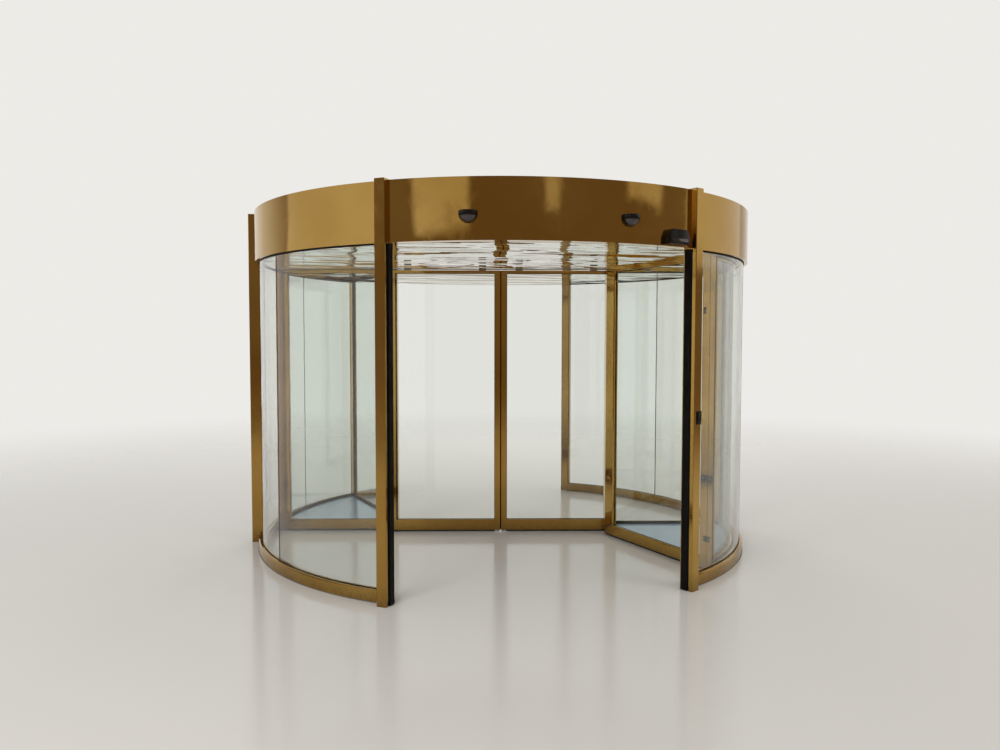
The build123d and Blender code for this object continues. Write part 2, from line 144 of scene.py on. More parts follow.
# A refracted ray counts as glossy and as transmitted, and it sees the pale surround.
only_mirrored = node(
    tree, "Math", {0: path["Is Glossy Ray"], 1: path["Is Transmission Ray"]},
    operation="SUBTRACT", use_clamp=True,
)
seen_colour = node(
    tree, "Mix", {0: only_mirrored, 6: surround(room_colour, *seen_turn), 7: mirrored}, 2, data_type="RGBA"
)
seen = node(tree, "Background", {"Color": seen_colour, "Strength": 1.0})
lighting = node(tree, "Background", {"Color": linear("#FFFFFF"), "Strength": surround_light})
direct = node(tree, "Math", {0: path["Is Camera Ray"], 1: path["Is Glossy Ray"]}, operation="MAXIMUM")
shown = node(tree, "Math", {0: direct, 1: path["Is Transmission Ray"]}, operation="MAXIMUM")
mixed = node(tree, "MixShader", {0: shown, 1: lighting, 2: seen})
node(tree, "OutputWorld", {"Surface": mixed}, None)


def new_material(name, slot="", **sockets):
    """A material with values on its shader's own sockets, and the slot of the record
    that its pieces belong to. Its tree, its shader and the piece's coordinates follow."""
    material = bpy.data.materials.new(name)
    material["slot"] = slot
    material.use_nodes = True
    tree = material.node_tree
    shader = tree.nodes["Principled BSDF"]
    for socket, value in sockets.items():
        shader.inputs[socket.replace("_", " ")].default_value = value
    return material, tree, shader, node(tree, "TexCoord", output="Object")


floor_reach, fade_start, fade_end, rim_points = 12.0, 3.0, 11.5, 96
turns = np.linspace(0, 2 * np.pi, rim_points, endpoint=False)
rim = np.column_stack([floor_reach * np.cos(turns), floor_reach * np.sin(turns), np.zeros(rim_points)])
floor_mesh = bpy.data.meshes.new("studio_floor")
floor_mesh.from_pydata(rim.tolist(), [], [list(range(rim_points))])
floor = bpy.data.objects.new("studio_floor", floor_mesh)
bpy.context.collection.objects.link(floor)
# Polished pale floor: smooth enough that posts and rails show a soft reflection.
floor_material, tree, surface, place = new_material(
    "pale_studio_floor", Base_Color=linear("#DEDAD3"), Roughness=0.14, Specular_IOR_Level=0.45
)
distance = node(tree, "VectorMath", {0: place}, "Value", operation="LENGTH")
faded = node(tree, "MapRange", {0: distance, 1: fade_start, 2: fade_end}, interpolation_type="SMOOTHSTEP")
clear = node(tree, "BsdfTransparent")
blended = node(tree, "MixShader", {0: faded, 1: surface.outputs[0], 2: clear})
tree.links.new(blended, tree.nodes["Material Output"].inputs["Surface"])
floor_mesh.materials.append(floor_material)

# Each lamp: its place, what it points at, its width in metres and its power in watts.
lamps = {
    "lamp_room_left": ((-4.6, -6.4, 4.4), (0.0, -0.5, 1.2), 3.6, 190.0),
    "lamp_room_right": ((5.0, -5.6, 4.4), (0.0, 0.0, 1.2), 3.0, 90.0),
    "lamp_street": ((1.5, 6.4, 5.2), (0.0, 0.0, 0.8), 4.0, 170.0),
}
for name, (spot, target, width, power) in lamps.items():
    light = bpy.data.lights.new(name, "AREA")
    light.shape = "SQUARE"
    light.size = width
    light.energy = power
    lamp = bpy.data.objects.new(name, light)
    lamp.location = spot
    lamp.rotation_euler = (Vector(target) - Vector(spot)).to_track_quat("-Z", "Y").to_euler()
    lamp.visible_transmission = False
    lamp.visible_glossy = False
    bpy.context.collection.objects.link(lamp)

# Drum posts: four box extrusions of stainless steel with a gold-toned coating. Each
# has a cap screwed on its top and a black gasket where the bent glass enters it.
posts = ((-120.0, -1), (-60.0, 1), (60.0, -1), (120.0, 1))  # angle, and side of the glass
post_inner, post_outer, post_half, post_top = 1.905, 2.005, 0.035, 2.575
cap_margin, cap_thickness, cap_ease = 0.003, 0.003, 0.001
cap_screw_inset, cap_screw_radius, cap_screw_height = 0.016, 0.005, 0.0028
glass_inner, glass_outer, rail_top, header_bottom = 1.914, 1.926, 0.080, 2.200
gasket_width, gasket_depth, gasket_end_gap = 0.004, 0.004, 0.002
sharp_edge = math.radians(35)


def feed(shader, **sources):
    """Link outputs of other nodes to the shader's sockets of these names."""
    for socket, source in sources.items():
        shader.id_data.links.new(source, shader.inputs[socket.replace("_", " ")])


def coated_steel(name, wave_mm, wave_depth_mm, polish, line_strength):
    """Gold-coated stainless steel: the tone drifts over a metre, the sheet waves a
    little, smears of cloths and hands dull it, and shoes scuff its foot. Polishing
    lines are drawn 1.1 mm apart, coarser than real, to show."""
    tone_mm, smear_mm, grime_mm, line_mm = 909, 111, 26.3, (1.11, 1.11, 200.0)
    scuff_height, smear_roughness, grime_roughness, line_depth = 0.14, 0.12, 0.35, 0.0002
    material, tree, metal, place = new_material(name, "gold_metal", Metallic=1.0)
    drift = node(tree, "TexNoise", {"Vector": place, "Scale": 1000 / tone_mm, "Detail": 3.0})
    tone = node(tree, "MapRange", {"Value": drift, "From Min": 0.35, "From Max": 0.65})
    clean = node(tree, "Mix", {0: tone, 6: linear("#AE8743"), 7: linear("#C29E59")}, 2, data_type="RGBA")
    height = node(tree, "SeparateXYZ", {0: place}, "Z")
    scuffed = node(tree, "MapRange", {"Value": height, "From Min": scuff_height, "From Max": 0.0})
    grime = node(
        tree, "TexNoise", {"Vector": place, "Scale": 1000 / grime_mm, "Detail": 6.0, "Roughness": 0.7}
    )
    worn = node(tree, "Math", {0: scuffed, 1: grime}, operation="MULTIPLY")
    soiled = node(tree, "Mix", {0: worn, 6: clean, 7: linear("#5A4426")}, 2, data_type="RGBA")
    smear = node(
        tree, "TexNoise", {"Vector": place, "Scale": 1000 / smear_mm, "Detail": 5.0, "Distortion": 1.2}
    )
    smear_range = {"From Min": 0.42, "From Max": 0.78, "To Min": polish, "To Max": polish + smear_roughness}
    dull = node(tree, "MapRange", {"Value": smear, **smear_range})
    rough = node(tree, "Math", {0: worn, 1: grime_roughness, 2: dull}, operation="MULTIPLY_ADD")
    wave = node(tree, "TexNoise", {"Vector": place, "Scale": 1000 / wave_mm, "Detail": 1.0})
    waved = node(tree, "Bump", {"Height": wave, "Strength": 1.0, "Distance": wave_depth_mm / 1000})
    drawn = node(tree, "Mapping", {"Vector": place, "Scale": [1000 / mm for mm in line_mm]})
    lines = node(tree, "TexNoise", {"Vector": drawn, "Scale": 1.0, "Detail": 2.0})
    lined = {"Height": lines, "Strength": line_strength, "Distance": line_depth, "Normal": waved}
    feed(metal, Base_Color=soiled, Roughness=rough, Normal=node(tree, "Bump", lined))
    return material


def rubber(name, colour, grain_mm, roughness, slot="black_rubber"):
    """Extruded rubber or sealant: matt, with a fine grain and a bloom of grey dust."""
    bloom_mm, most_bloom, grain_depth = 45.5, 0.2, 0.0003
    material, tree, shader, place = new_material(name, slot, Roughness=roughness, Specular_IOR_Level=0.2)
    bloom = node(tree, "TexNoise", {"Vector": place, "Scale": 1000 / bloom_mm, "Detail": 5.0})
    dusty = node(tree, "MapRange", {"Value": bloom, "From Min": 0.5, "From Max": 0.9, "To Max": most_bloom})
    tone = node(tree, "Mix", {0: dusty, 6: linear(colour), 7: linear("#2E2D2A")}, 2, data_type="RGBA")
    grain = node(tree, "TexNoise", {"Vector": place, "Scale": 1000 / grain_mm, "Detail": 2.0})
    bump = node(tree, "Bump", {"Height": grain, "Strength": 0.4, "Distance": grain_depth})
    feed(shader, Base_Color=tone, Normal=bump)
    return material


def two_toned(name, slot, tones, grain_mm, detail, polish=None, dimples=None, **sockets):
    """A finish whose grain, of a real size along x, y and z, runs between two tones and
    between the smooth and the rough end of its polish. Dimples are given by their
    width in mm, their detail, strength and depth in mm."""
    material, tree, shader, place = new_material(name, slot, **sockets)
    cells = node(tree, "Mapping", {"Vector": place, "Scale": [1000 / mm for mm in grain_mm]})
    grain = node(tree, "TexNoise", {"Vector": cells, "Scale": 1.0, "Detail": detail})
    dark, light = (linear(tone) for tone in tones)
    feed(shader, Base_Color=node(tree, "Mix", {0: grain, 6: dark, 7: light}, 2, data_type="RGBA"))
    if polish:
        rough = node(tree, "MapRange", {"Value": grain, "To Min": polish[0], "To Max": polish[1]})
        feed(shader, Roughness=rough)
    if dimples:
        width_mm, dimple_detail, strength, depth_mm = dimples
        pits = node(tree, "TexNoise", {"Vector": place, "Scale": 1000 / width_mm, "Detail": dimple_detail})
        bump = node(tree, "Bump", {"Height": pits, "Strength": strength, "Distance": depth_mm / 1000})
        feed(shader, Normal=bump)
    return material


def dress(material, *starts):
    """Give every material slot of the frame pieces whose names start so one finish."""
    for name, piece in nodes.items():
        if name.startswith(starts):
            for slot in piece.material_slots:
                slot.material = material


def tube(rings, closed=False):
    """Skin over rings of points (ring, point, xyz): each ring is joined to the next, and
    the first and last rings become end faces unless the run closes on itself."""
    count, size = rings.shape[:2]
    ring, point = np.meshgrid(np.arange(count if closed else count - 1), np.arange(size), indexing="ij")
    after, beside = (ring + 1) % count, (point + 1) % size
    corners = [ring * size + point, ring * size + beside, after * size + beside, after * size + point]
    faces = np.stack(corners, axis=-1).reshape(-1, 4).tolist()
    if not closed:
        faces += [list(range(size))[::-1], list(range((count - 1) * size, count * size))]
    return rings.reshape(-1, 3), faces


def make_piece(name, body, material, solids):
    """One mesh object from (points, faces) solids, smooth but for its sharp edges, with
    its faces turned outwards, riding on a body."""
    points, faces, start = [], [], 0
    for solid_points, solid_faces in solids:
        points.append(solid_points)
        faces += [[start + k for k in face] for face in solid_faces]
        start += len(solid_points)
    mesh = bpy.data.meshes.new(name)
    mesh.from_pydata(np.concatenate(points).tolist(), [], faces)
    work = bmesh.new()
    work.from_mesh(mesh)
    bmesh.ops.recalc_face_normals(work, faces=work.faces)
    work.to_mesh(mesh)
    work.free()
    mesh.shade_smooth()
    mesh.set_sharp_from_angle(angle=sharp_edge)
    mesh.materials.append(material)
    piece = bpy.data.objects.new(name, mesh)
    bpy.context.collection.objects.link(piece)
    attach(piece, body)
    return piece


def turned(points, degrees):
    """Points turned about the upright axis: x cos a - y sin a, x sin a + y cos a."""
    c, s = math.cos(math.radians(degrees)), math.sin(math.radians(degrees))
    x, y, z = np.moveaxis(np.asarray(points, float), -1, 0)
    return np.stack([x * c - y * s, x * s + y * c, z], axis=-1)


def turn_solid(solid, degrees):
    """A solid with its points turned about the upright axis and its faces kept."""
    return turned(solid[0], degrees), solid[1]


def rectangle(x0, x1, y0, y1):
    """The four corners of a rectangle in order round it."""
    return np.array([(x0, y0), (x1, y0), (x1, y1), (x0, y1)])


def upright(plan, bottom, top, ease=0.0):
    """A plan of (x, y) points drawn up between two heights. At each end it shrinks
    towards its middle by the ease, as an eased edge."""
    plan = np.asarray(plan, float)
    away = plan - plan.mean(axis=0)
    small = plan - ease * away / np.linalg.norm(away, axis=1, keepdims=True)
    levels = [(small, bottom), (plan, bottom + ease), (plan, top - ease), (small, top)]
    if ease == 0:
        levels = [(plan, bottom), (plan, top)]
    return tube(np.stack([np.column_stack([p, np.full(len(p), z)]) for p, z in levels]))


def bead_section(face, away, base, rise, width, depth, shoulder=(0.95, 0.4), tip=0.3):
    """The wedge of a gasket against a glass face: wide at the frame, thin at its tip."""
    return [
        (face, base),
        (face + away * width, base),
        (face + away * width * shoulder[0], base + rise * depth * shoulder[1]),
        (face + away * width * tip, base + rise * depth),
        (face, base + rise * depth),
    ]


def screw_head(spot, axis, radius, height):
    """A pan-head screw: a ring of points turned about its axis, with a socket sunk in."""
    axis = Vector(axis).normalized()
    side = axis.orthogonal().normalized()
    profile = [(1.0, 0.0), (1.0, 0.45), (0.93, 0.8), (0.72, 1.0), (0.5, 1.0), (0.44, 0.9), (0.4, 0.35)]
    a = np.linspace(0, 2 * np.pi, 12, endpoint=False)
    ring = np.outer(np.cos(a), side) + np.outer(np.sin(a), axis.cross(side))
    reach, rise = np.array(profile).T[..., None, None]
    return tube(np.array(spot) + radius * reach * ring + height * rise * np.array(axis))


# Sheet polished to a mirror: clear reflections that bend as the thin sheet waves.
polished_gold = coated_steel("gold_coated_mirror_steel", 420, 5.0, 0.035, 0.05)
# Stiffer polished section: straighter reflections, drawn out a little along its length.
section_gold = coated_steel("gold_coated_polished_section", 300, 1.5, 0.045, 0.15)
# Extruded EPDM: dull black with no clear highlight.
epdm = rubber("black_epdm_gasket", "#0C0C0C", 0.8, 0.62)
# Bright stainless fasteners: small sharp glints, softened by a fine grain that is drawn
# 1.4 mm wide, coarser than real, to show.
bright_steel = two_toned(
    "bright_stainless_fasteners", "steel", ("#9C9A94", "#C2C0BA"), (1.43,) * 3, 3.0, (0.2, 0.36),
    Metallic=1.0,
)
dress(section_gold, "post_")

caps, cap_screws, post_gaskets = [], [], []
cap_plan = rectangle(
    post_inner + cap_margin, post_outer - cap_margin, cap_margin - post_half, post_half - cap_margin
)
cap_top = post_top + cap_thickness
for angle, side in posts:
    caps.append(turn_solid(upright(cap_plan, post_top, cap_top, cap_ease), angle))
    for radius in (post_inner + cap_screw_inset, post_outer - cap_screw_inset):
        head = turned((radius, 0.0, cap_top), angle)
        cap_screws.append(screw_head(head, (0, 0, 1), cap_screw_radius, cap_screw_height))
    for face, away in ((glass_outer, 1), (glass_inner, -1)):
        lip = side * post_half
        bead = bead_section(face, away, lip, side, gasket_width, gasket_depth, (0.9, 0.45), 0.25)
        bead = upright(bead, rail_top + gasket_end_gap, header_bottom - gasket_end_gap)
        post_gaskets.append(turn_solid(bead, angle))
make_piece("post_caps", "drum", section_gold, caps)
make_piece("post_cap_screws", "drum", bright_steel, cap_screws)
make_piece("post_glazing_gaskets", "drum", epdm, post_gaskets)

# Safety strips: black rubber bars that stop the rotor when they are pressed. They are
# extruded with long grip ribs and close in a moulded plug at each end.
strip_inner, strip_outer, strip_root, strip_tip = 1.918, 1.972, 0.035, 0.045
strip_bottom, strip_top, plug_height = 0.005, 2.195, 0.022
rib_count, rib_half, rib_proud, rib_inset, rib_sunk = 5, 0.0025, 0.0014, 0.0095, 0.0004
plug_over, plug_proud, plug_corner = 0.001, 0.002, 0.003
# Soft black rubber: the darkest piece of the door, with hardly any sheen.
strip_rubber = rubber("black_safety_rubber", "#030303", 1.2, 0.55)
dress(strip_rubber, "safety_strips")
ribs, plugs = [], []
a = np.linspace(0, np.pi, 6)
for angle, glass_side in posts:
    side = -glass_side
    for radius in np.linspace(strip_inner + rib_inset, strip_outer - rib_inset, rib_count):
        arch = np.column_stack([
            radius + rib_half * np.cos(a), side * (strip_tip - rib_sunk + rib_proud * np.sin(a)),
        ])
        ribs.append(turn_solid(upright(arch, strip_bottom + plug_height, strip_top - plug_height), angle))
    plan = [
        (strip_inner - plug_over, side * strip_root),
        (strip_outer + plug_over, side * strip_root),
        (strip_outer + plug_over, side * (strip_tip - plug_corner)),
        (strip_outer - plug_corner, side * (strip_tip + plug_proud)),
        (strip_inner + plug_corner, side * (strip_tip + plug_proud)),
        (strip_inner - plug_over, side * (strip_tip - plug_corner)),
    ]
    for low in (strip_bottom - plug_over, strip_top - plug_height):
        plugs.append(turn_solid(upright(plan, low, low + plug_height + plug_over, plug_over), angle))
make_piece("safety_strip_ribs", "drum", strip_rubber, ribs)
make_piece("safety_strip_end_plugs", "drum", strip_rubber, plugs)

# Door switch: a black moulded rocker switch on the outer face of the right-hand room
# post, at hand height, clipped over a thin back plate.
switch_angle, switch_across, switch_height = -60.0, 0.0105, 1.124
switch_plates = (  # width, height, depth, corner radius, eased edge, dish
    (0.044, 0.088, 0.004, 0.004, 0.001, 0.0),
    (0.036, 0.078, 0.0085, 0.003, 0.002, 0.0),
    (0.026, 0.050, 0.0105, 0.002, 0.001, 0.0012),
)
# Moulded ABS: glossy black where it is clean, satin where hands have filmed it.
abs_black = two_toned(
    "black_moulded_abs", "black_plastic", ("#040505", "#0B0B0D"), (71.4,) * 3, 5.0, (0.14, 0.34),
    (2.38, 2.0, 0.25, 0.2), IOR=1.54, Specular_IOR_Level=0.3,
)


def rounded_plate(width, height, depth, corner, ease, dish=0.0):
    """A plate in the y-z plane that stands out along x: a rounded rectangle whose front
    edge is eased, and whose face may be dished. Corners are quarter circles."""
    a = np.linspace(0, np.pi / 2, 6)
    outline = np.concatenate([
        np.column_stack([
            sy * (width / 2 - corner) + corner * np.cos(a + turn * np.pi / 2),
            sz * (height / 2 - corner) + corner * np.sin(a + turn * np.pi / 2),
        ])
        for turn, (sy, sz) in enumerate(((1, 1), (-1, 1), (-1, -1), (1, -1)))
    ])
    steps = [(0.0, 0.0), (depth - ease, 0.0), (depth - 0.3 * ease, 0.3 * ease), (depth, ease)]
    if dish:
        steps += [(depth - dish, ease + 1.5 * dish)]
    rings = []
    for out, inset in steps:
        flat = outline * (1 - 2 * inset / np.array([width, height]))
        rings.append(np.column_stack([np.full(len(flat), out), flat]))
    return np.stack(rings)


on_post = np.array([post_outer, switch_across, switch_height])
switch = [tube(turned(rounded_plate(*plate) + on_post, switch_angle)) for plate in switch_plates]
make_piece("door_switch", "drum", abs_black, switch)

# Base rails: curved gold-coated sections on the floor that hold the foot of the bent
# glass between two black gaskets, with a bead of sealant against the floor.
rail_inner, rail_outer, floor_bead = 1.890, 1.950, 0.004
rail_bead, header_bead = (0.004, 0.003), (0.006, 0.007)  # width, depth
wall_arcs = ((121.05, 238.95), (-58.95, 58.95))
dress(section_gold, "base_rail_")


def around_axis(section, start, end, steps=96):
    """A section of (radius, height) points carried about the drum axis between two
    angles: x = r cos a, y = r sin a, z = h. A whole turn closes on itself."""
    r, h = np.asarray(section, float).T
    whole = abs(end - start) >= 360
    a = np.radians(np.linspace(start, end, steps + 1))[: steps if whole else None]
    rings = [r * np.cos(a)[:, None], r * np.sin(a)[:, None], np.broadcast_to(h, (len(a), len(h)))]
    return tube(np.stack(rings, axis=-1), closed=whole)


rail_gaskets, floor_beads = [], []
for start, end in wall_arcs:
    for face, away in ((glass_outer, 1), (glass_inner, -1)):
        for base, rise, bead in ((rail_top, 1, rail_bead), (header_bottom, -1, header_bead)):
            rail_gaskets.append(around_axis(bead_section(face, away, base, rise, *bead), start, end))
    for face, away in ((rail_outer, 1), (rail_inner, -1)):
        corner = [(face, 0.0), (face + away * floor_bead, 0.0), (face, floor_bead)]
        floor_beads.append(around_axis(corner, start, end))
make_piece("wall_glazing_gaskets", "drum", epdm, rail_gaskets)
# Grey sealant: a matt joint that loses the rail's foot softly into the floor.
sealant = rubber("grey_floor_sealant", "#6E6B66", 2.0, 0.55, slot="")
make_piece("base_rail_floor_beads", "drum", sealant, floor_beads)

# Bent panes: toughened float glass, four a side, clear with the faint grey-green tone
# that iron gives. Black silicone fills the narrow joints between their edges.
joint_angles = [middle + offset for middle in (0.0, 180.0) for offset in (-28.0, 0.0, 28.0)]
joint_half, joint_proud, joint_lap, joint_end_gap = 0.0023, 0.0006, 0.0002, 0.0015
haze_mm, haze_roughness, roller_mm, roller_depth = (167.0, 167.0, 417.0), 0.012, 200, 0.0004
# Float glass: clear, with a slight roller wave in what it mirrors and a wiped haze.
glass, tree, shader, place = new_material(
    "clear_float_glass", Base_Color=linear("#F6F9F7"), Transmission_Weight=1.0, IOR=1.52
)
wiped = node(tree, "Mapping", {"Vector": place, "Scale": [1000 / mm for mm in haze_mm]})
haze = node(tree, "TexNoise", {"Vector": wiped, "Scale": 1.0, "Detail": 6.0, "Distortion": 1.5})
rough = node(tree, "MapRange", {"Value": haze, "From Min": 0.55, "From Max": 0.85, "To Max": haze_roughness})
roller = node(tree, "TexNoise", {"Vector": place, "Scale": 1000 / roller_mm, "Detail": 1.0})
bump = node(tree, "Bump", {"Height": roller, "Strength": 1.0, "Distance": roller_depth})
feed(shader, Roughness=rough, Normal=bump)
dress(glass, "curved_panes_", "showcase_bent_pane_", "showcase_flat_panes_", "leaf_pane_")
for name, piece in nodes.items():
    if "pane" in name:
        piece.visible_shadow = False

# Silicone: a little glossier than rubber, and black where it touches the glass.
silicone = rubber("black_silicone_joint", "#0A0A0B", 1.5, 0.4)
joint_plan = [
    (glass_inner - joint_lap, -joint_half),
    (glass_inner - joint_proud, 0.0),
    (glass_inner - joint_lap, joint_half),
    (glass_outer + joint_lap, joint_half),
    (glass_outer + joint_proud, 0.0),
    (glass_outer + joint_lap, -joint_half),
]
joint = upright(joint_plan, rail_top + joint_end_gap, header_bottom - joint_end_gap)
make_piece("pane_joint_silicone", "drum", silicone, [turn_solid(joint, angle) for angle in joint_angles])

# Header: the ring over walls and doorways, clad in the same gold sheet. A brush strip
# on its inner side closes the gap to the turning ceiling.
brush_radius, brush_spacing, brush_reach = 1.8878, 0.0032, 0.0055
brush_rows = ((2.2085, 0.0, 11), (2.2115, 0.05, 12))  # height, first angle, seed
brush_holder_box = (1.8875, 1.8902, 2.2045, 2.2155)  # inner and outer radius, bottom, top
fibre_foot_radius, fibre_lean, shortest_fibre = 0.0011, 0.16, 0.86
dress(section_gold, "header_")
# Nylon fibres: soft black, a few of them greyed by dust. Real ones are well under 1 mm
# thick, and these are drawn almost 2 mm thick at the root, to show as single fibres.
fibre = two_toned(
    "black_nylon_brush", "black_plastic", ("#060606", "#1E1D1C"), (1.11,) * 3, 1.0, Roughness=0.55
)


def bristles(roots, heading, along, length, seed):
    """Brush fibres: three-sided needles from root points towards a heading, each a
    little shorter or longer than the next and leaning at random along the brush."""
    draw = np.random.default_rng(seed)
    count = len(roots)
    heading, along = (np.broadcast_to(way, (count, 3)) for way in (heading, along))
    across = np.cross(heading, along) * fibre_foot_radius
    reach = length * draw.uniform(shortest_fibre, 1.0, (count, 1))
    lean = draw.uniform(-fibre_lean, fibre_lean, (count, 1)) * length
    thick = along * fibre_foot_radius
    points = np.stack(
        [
            roots + thick,
            roots - thick * 0.5 + across * 0.87,
            roots - thick * 0.5 - across * 0.87,
            roots + heading * reach + along * lean,
        ],
        axis=1,
    )
    corners = np.array([[0, 1, 2], [0, 3, 1], [1, 3, 2], [2, 3, 0]])
    faces = (corners[None] + 4 * np.arange(count)[:, None, None]).reshape(-1, 3)
    return points.reshape(-1, 3), faces.tolist()


def ring_bristles(degrees, radius, height, out, up, length, seed):
    """Fibres rooted on a circle at one height: they point out along the radius and up in
    these proportions."""
    a = np.radians(degrees)
    outward = np.column_stack([np.cos(a), np.sin(a), np.zeros(len(a))])
    along = np.column_stack([-np.sin(a), np.cos(a), np.zeros(len(a))])
    return bristles(outward * radius + [0, 0, height], outward * out + [0, 0, up], along, length, seed)


header_brush = [around_axis(rectangle(*brush_holder_box), 0.0, 360.0, 192)]
for height, first, seed in brush_rows:
    degrees = np.arange(first, 360.0, math.degrees(brush_spacing / brush_radius))
    header_brush.append(ring_bristles(degrees, brush_radius, height, -1, 0, brush_reach, seed))
make_piece("header_brush", "drum", fibre, header_brush)

# Fascias: curved sheets of mirror-polished gold steel outside the header. Their upper
# edge is folded in, and the doorway sheets end below in a bright lip.
fascia_top, fold_depth, fold_bend, fold_sheet, fold_gap = 2.570, 0.014, 0.003, 0.002, 0.0045
side_fascia, door_fascia = 1.955, 1.965
dress(polished_gold, "fascia_")
folds = []
for start, end, radius in (
    (121.1, 238.9, side_fascia), (-58.9, 58.9, side_fascia),
    (-118.9, -61.1, door_fascia), (61.1, 118.9, door_fascia),
):
    inside = radius - fold_gap
    fold = [
        (inside, fascia_top - 2 * fold_sheet), (inside, fascia_top), (inside - fold_bend, fascia_top),
        (inside - fold_depth, fascia_top), (inside - fold_depth, fascia_top - fold_sheet),
        (inside - fold_bend, fascia_top - fold_sheet),
    ]
    folds.append(around_axis(fold, start, end))
make_piece("fascia_top_folds", "drum", polished_gold, folds)

# Canopy roof: trays of galvanised sheet with standing seams between them and a square
# hatch over the bearing, screwed down all round and lifted by two handles.
roof_top, hatch_top, hatch_half = 2.534, 2.556, 0.38
lid_margin, lid_thickness, lid_ease, lid_screw_inset, lid_screw_gap = 0.012, 0.003, 0.0012, 0.014, 0.03
roof_screw_radius, lid_screw_height, seam_screw_height, seam_aside = 0.0055, 0.003, 0.0034, 0.022
seam_angles, seam_screw_radii = np.arange(15.0, 360.0, 30.0), np.linspace(0.54, 1.74, 5)
handle_x, handle_half, handle_foot, handle_rise, handle_radius = 0.2, 0.06, 0.002, 0.026, 0.0045
spangle_mm, dust_mm = 10.53, 250
door_arcs = ((-118.95, -61.05), (61.05, 118.95))
# Galvanised sheet: pale crystal patches that glint a little, dulled unevenly by dust.
galvanised, tree, metal, place = new_material("galvanised_sheet", "grey_roof_sheet", Metallic=0.35)
crystal = node(tree, "TexVoronoi", {"Vector": place, "Scale": 1000 / spangle_mm}, "Color")
patch = node(tree, "SeparateColor", {0: crystal}, None)
dust = node(tree, "TexNoise", {"Vector": place, "Scale": 1000 / dust_mm, "Detail": 7.0, "Roughness": 0.65})
tone = node(tree, "Mix", {0: patch[0], 6: linear("#93979A"), 7: linear("#A7ABAD")}, 2, data_type="RGBA")
settled = node(tree, "MapRange", {"Value": dust, "From Min": 0.4, "From Max": 0.7, "To Max": 0.6})
rough_range = {"From Min": 0.3, "From Max": 0.7, "To Min": 0.38, "To Max": 0.62}
feed(
    metal,
    Base_Color=node(tree, "Mix", {0: settled, 6: tone, 7: linear("#8B8880")}, 2, data_type="RGBA"),
    Roughness=node(tree, "MapRange", {"Value": dust, **rough_range}),
    Normal=node(tree, "Bump", {"Height": patch[1], "Strength": 0.15, "Distance": 0.0004}),
)
dress(galvanised, "canopy_roof")

lid, lid_top = hatch_half - lid_margin, hatch_top + lid_thickness
hatch_lid = upright(rectangle(-lid, lid, -lid, lid), hatch_top, lid_top, lid_ease)
roof_screws, handles = [], []
edge = lid - lid_screw_inset
for run in np.linspace(lid_screw_gap - lid, lid - lid_screw_gap, 7):
    for x, y in ((run, edge), (run, -edge), (edge, run), (-edge, run)):
        roof_screws.append(screw_head((x, y, lid_top), (0, 0, 1), roof_screw_radius, lid_screw_height))
for angle in seam_angles:
    for radius in seam_screw_radii:
        for side in (-1, 1):
            head = turned((radius, side * seam_aside, roof_top), angle)
            roof_screws.append(screw_head(head, (0, 0, 1), roof_screw_radius, seam_screw_height))
# A handle is a round bar along an arch: y = -h cos t, z rises with the 0.35th power of
# sin t, so that it leaves the lid steeply and runs flat across the top.
t, a = np.linspace(0, np.pi, 25), np.linspace(0, 2 * np.pi, 10, endpoint=False)
sideways = np.array([1.0, 0.0, 0.0])
for x in (-handle_x, handle_x):
    rise = hatch_top + handle_foot + handle_rise * np.sin(t) ** 0.35
    arch = np.column_stack([np.full(len(t), x), -handle_half * np.cos(t), rise])
    along = np.gradient(arch, axis=0)
    along /= np.linalg.norm(along, axis=1, keepdims=True)
    upward = np.cross(along, sideways)[:, None]
    round_bar = np.cos(a)[:, None] * sideways + np.sin(a)[:, None] * upward
    handles.append(tube(arch[:, None] + handle_radius * round_bar))
make_piece("hatch_lid", "drum", galvanised, [hatch_lid])
make_piece("hatch_handles", "drum", bright_steel, handles)
make_piece("roof_screws", "drum", bright_steel, roof_screws)
roof_bead = [(1.9505, roof_top), (1.938, roof_top), (1.944, roof_top + 0.0045), (1.9505, roof_top + 0.007)]
edge_beads = [around_axis(roof_bead, *arc) for arc in (*wall_arcs, *door_arcs)]
make_piece("roof_edge_sealant", "drum", sealant, edge_beads)

# Bearing: primed steel beams across the header and a housing between them, in which
# the king pin of the rotor hangs by its nut.
# Primer: flat grey paint, a little cloudy, with the stipple that a roller leaves.
primer = two_toned(
    "grey_primed_steel", "", ("#6F7376", "#83878A"), (200.0,) * 3, 4.0, None, (3.85, 3.0, 0.3, 0.3),
    Roughness=0.55,
)
dress(primer, "bearing_")
# Turned steel: bands round the pin, from tool marks that are drawn coarser than real.
turned_steel = two_toned(
    "turned_steel", "", ("#8A8B8C", "#AEB0B1"), (125.0, 125.0, 1.43), 2.0, (0.24, 0.42), Metallic=1.0
)
dress(turned_steel, "king_pin", "leaf_track", "leaf_hangers_")

